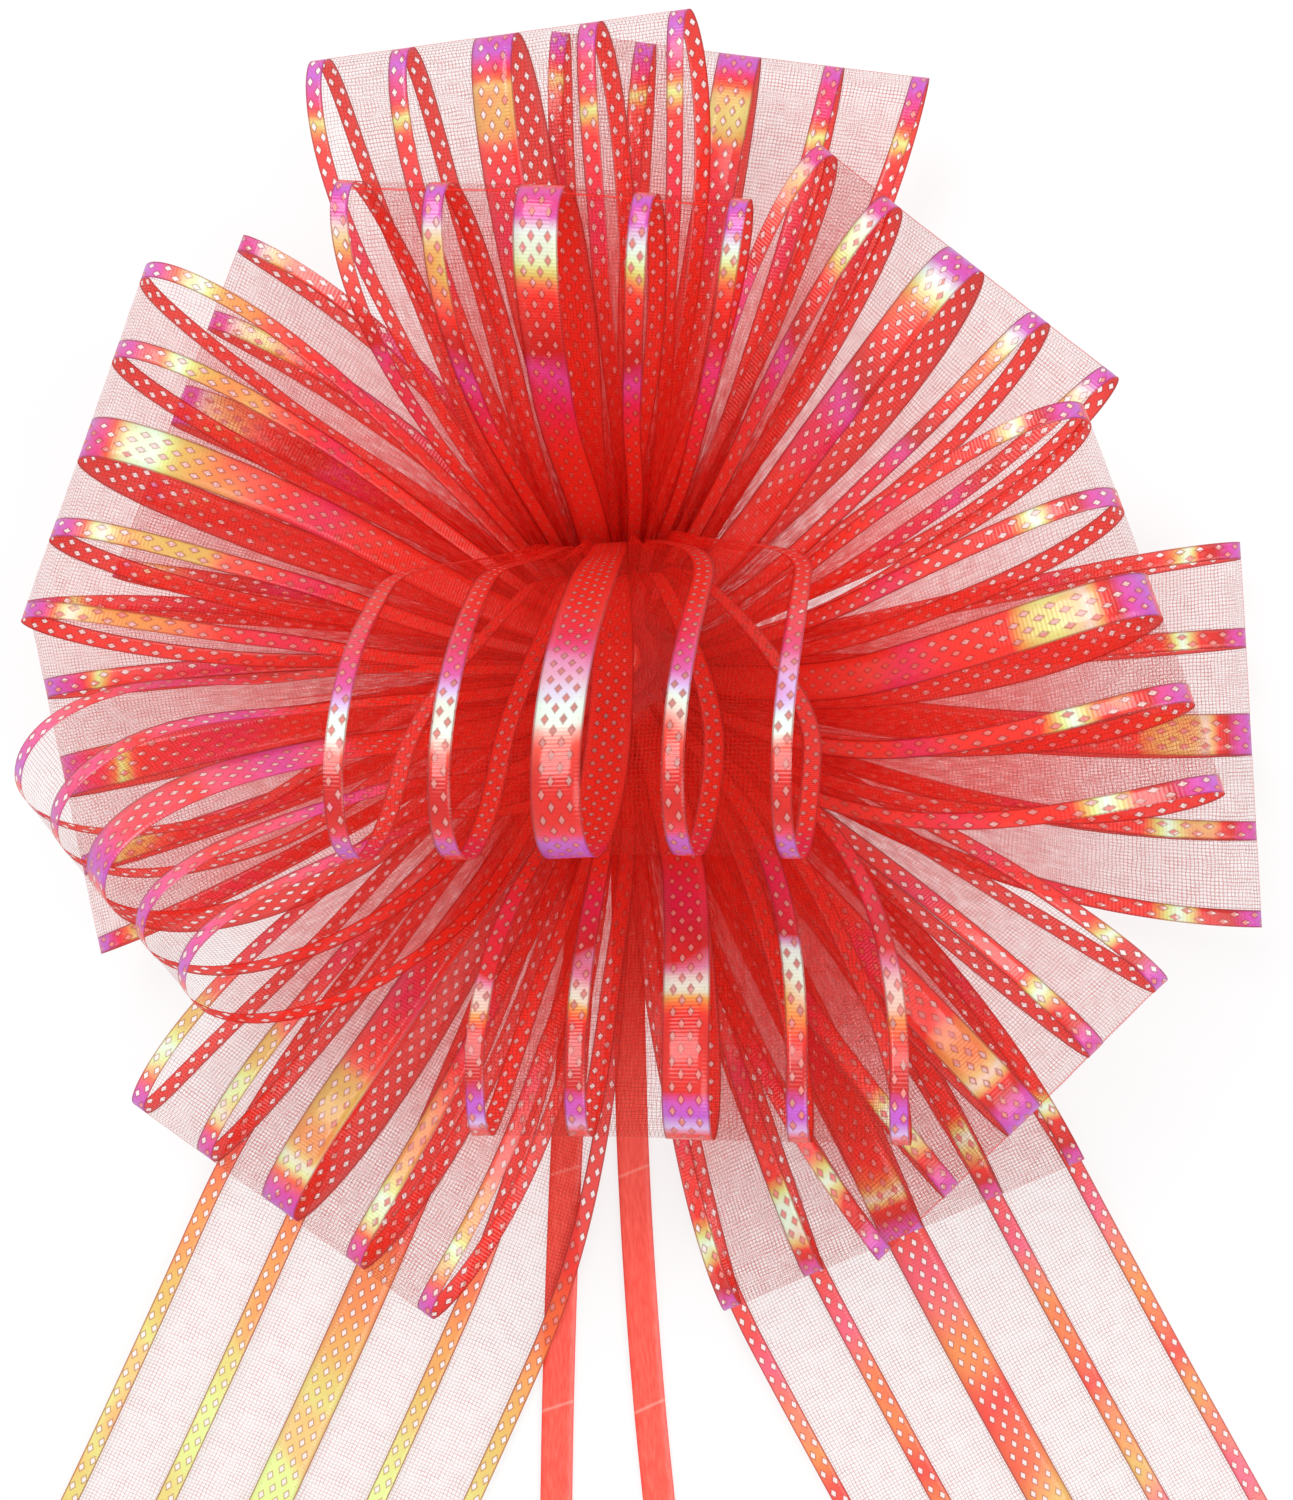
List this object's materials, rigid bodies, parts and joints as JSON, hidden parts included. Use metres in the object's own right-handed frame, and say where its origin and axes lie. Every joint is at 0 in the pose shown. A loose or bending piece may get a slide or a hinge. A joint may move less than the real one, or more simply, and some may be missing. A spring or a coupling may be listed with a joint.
{
  "type": "gift bow",
  "caption": "Round pull bow of sheer striped ribbon: a rosette of upright and spread loops, two long flat tails and two flat pull strings.",
  "frame": {"origin": "centre of the flat back face of the base weld, on the axis of the pull strings, where the bow rests on a present", "axes": "+Z out of the face of the bow along the string axis, +Y away from the tails, +X to the right seen from the front"},
  "size_m": [0.2012, 0.2706, 0.1015],
  "materials": {
    "organza_ribbon": "sheer organza with glossy iridescent film stripes",
    "weld": "heat-sealed ribbon, gathered and flattened",
    "pull_string": "smooth flat polypropylene curling ribbon, satin gloss"
  },
  "bodies": {
    "base": {"base_weld": "weld"},
    "core": {"core_string": "pull_string", "top_knot": "pull_string"},
    "string_left": {"pull_string_left": "pull_string"},
    "string_right": {"pull_string_right": "pull_string"},
    "tail_right": {"tail_right": "organza_ribbon", "waist_tail_right": "weld"},
    "tail_left": {"tail_left": "organza_ribbon", "waist_tail_left": "weld"},
    "low_lower_left": {"loop_low_lower_left": "organza_ribbon", "waist_low_lower_left": "weld"},
    "low_right": {"loop_low_right": "organza_ribbon", "waist_low_right": "weld"},
    "low_left": {"loop_low_left": "organza_ribbon", "waist_low_left": "weld"},
    "low_lower_right": {"loop_low_lower_right": "organza_ribbon", "waist_low_lower_right": "weld"},
    "low_upper_left": {"loop_low_upper_left": "organza_ribbon", "waist_low_upper_left": "weld"},
    "low_top": {"loop_low_top": "organza_ribbon", "waist_low_top": "weld"},
    "mid_lower_right": {"loop_mid_lower_right": "organza_ribbon", "waist_mid_lower_right": "weld"},
    "mid_top": {"loop_mid_top": "organza_ribbon", "waist_mid_top": "weld"},
    "mid_upper_right": {"loop_mid_upper_right": "organza_ribbon", "waist_mid_upper_right": "weld"},
    "high_top": {"loop_high_top": "organza_ribbon", "waist_high_top": "weld"},
    "mid_upper_left": {"loop_mid_upper_left": "organza_ribbon", "waist_mid_upper_left": "weld"},
    "high_right": {"loop_high_right": "organza_ribbon", "waist_high_right": "weld"},
    "high_left": {"loop_high_left": "organza_ribbon", "waist_high_left": "weld"},
    "high_bottom": {"loop_high_bottom": "organza_ribbon", "waist_high_bottom": "weld"},
    "crown": {"loop_crown": "organza_ribbon", "waist_crown": "weld", "ribbon_end": "organza_ribbon"}
  },
  "joints": [
    {"name": "string_left_slide", "type": "slide", "parent": "base", "child": "string_left", "axis": [0, 1, 0], "range_m": [0, 0.006]},
    {"name": "string_right_slide", "type": "slide", "parent": "base", "child": "string_right", "axis": [0, 1, 0], "range_m": [0, 0.006]},
    {"name": "core_slide", "type": "slide", "parent": "base", "child": "core", "axis": [0, 0, 1], "range_m": [0, 0.006]},
    {"name": "tail_right_swing", "type": "hinge", "parent": "base", "child": "tail_right", "pos_m": [0, 0, 0], "axis": [0, 0, 1], "range_deg": [-2, 2]},
    {"name": "tail_left_swing", "type": "hinge", "parent": "base", "child": "tail_left", "pos_m": [0, 0, 0], "axis": [0, 0, 1], "range_deg": [-2, 2]},
    {"name": "low_lower_left_turn", "type": "hinge", "parent": "base", "child": "low_lower_left", "pos_m": [0, 0, 0], "axis": [0, 0, 1], "range_deg": [-2, 2]},
    {"name": "low_right_turn", "type": "hinge", "parent": "base", "child": "low_right", "pos_m": [0, 0, 0], "axis": [0, 0, 1], "range_deg": [-2, 2]},
    {"name": "low_left_turn", "type": "hinge", "parent": "base", "child": "low_left", "pos_m": [0, 0, 0], "axis": [0, 0, 1], "range_deg": [-2, 2]},
    {"name": "low_lower_right_turn", "type": "hinge", "parent": "base", "child": "low_lower_right", "pos_m": [0, 0, 0], "axis": [0, 0, 1], "range_deg": [-2, 2]},
    {"name": "low_upper_left_turn", "type": "hinge", "parent": "base", "child": "low_upper_left", "pos_m": [0, 0, 0], "axis": [0, 0, 1], "range_deg": [-2, 2]},
    {"name": "low_top_turn", "type": "hinge", "parent": "base", "child": "low_top", "pos_m": [0, 0, 0], "axis": [0, 0, 1], "range_deg": [-2, 2]},
    {"name": "mid_lower_right_turn", "type": "hinge", "parent": "base", "child": "mid_lower_right", "pos_m": [0, 0, 0], "axis": [0, 0, 1], "range_deg": [-2, 2]},
    {"name": "mid_top_turn", "type": "hinge", "parent": "base", "child": "mid_top", "pos_m": [0, 0, 0], "axis": [0, 0, 1], "range_deg": [-2, 2]},
    {"name": "mid_upper_right_turn", "type": "hinge", "parent": "base", "child": "mid_upper_right", "pos_m": [0, 0, 0], "axis": [0, 0, 1], "range_deg": [-2, 2]},
    {"name": "high_top_turn", "type": "hinge", "parent": "base", "child": "high_top", "pos_m": [0, 0, 0], "axis": [0, 0, 1], "range_deg": [-2, 2]},
    {"name": "mid_upper_left_turn", "type": "hinge", "parent": "base", "child": "mid_upper_left", "pos_m": [0, 0, 0], "axis": [0, 0, 1], "range_deg": [-2, 2]},
    {"name": "high_right_turn", "type": "hinge", "parent": "base", "child": "high_right", "pos_m": [0, 0, 0], "axis": [0, 0, 1], "range_deg": [-2, 2]},
    {"name": "high_left_turn", "type": "hinge", "parent": "base", "child": "high_left", "pos_m": [0, 0, 0], "axis": [0, 0, 1], "range_deg": [-2, 2]},
    {"name": "high_bottom_turn", "type": "hinge", "parent": "base", "child": "high_bottom", "pos_m": [0, 0, 0], "axis": [0, 0, 1], "range_deg": [-2, 2]},
    {"name": "crown_turn", "type": "hinge", "parent": "base", "child": "crown", "pos_m": [0, 0, 0], "axis": [0, 0, 1], "range_deg": [-2, 2]}
  ],
  "couplings": [
    {"joint": "string_right_slide", "follows": "string_left_slide", "ratio": 1},
    {"joint": "core_slide", "follows": "string_left_slide", "ratio": 1}
  ]
}
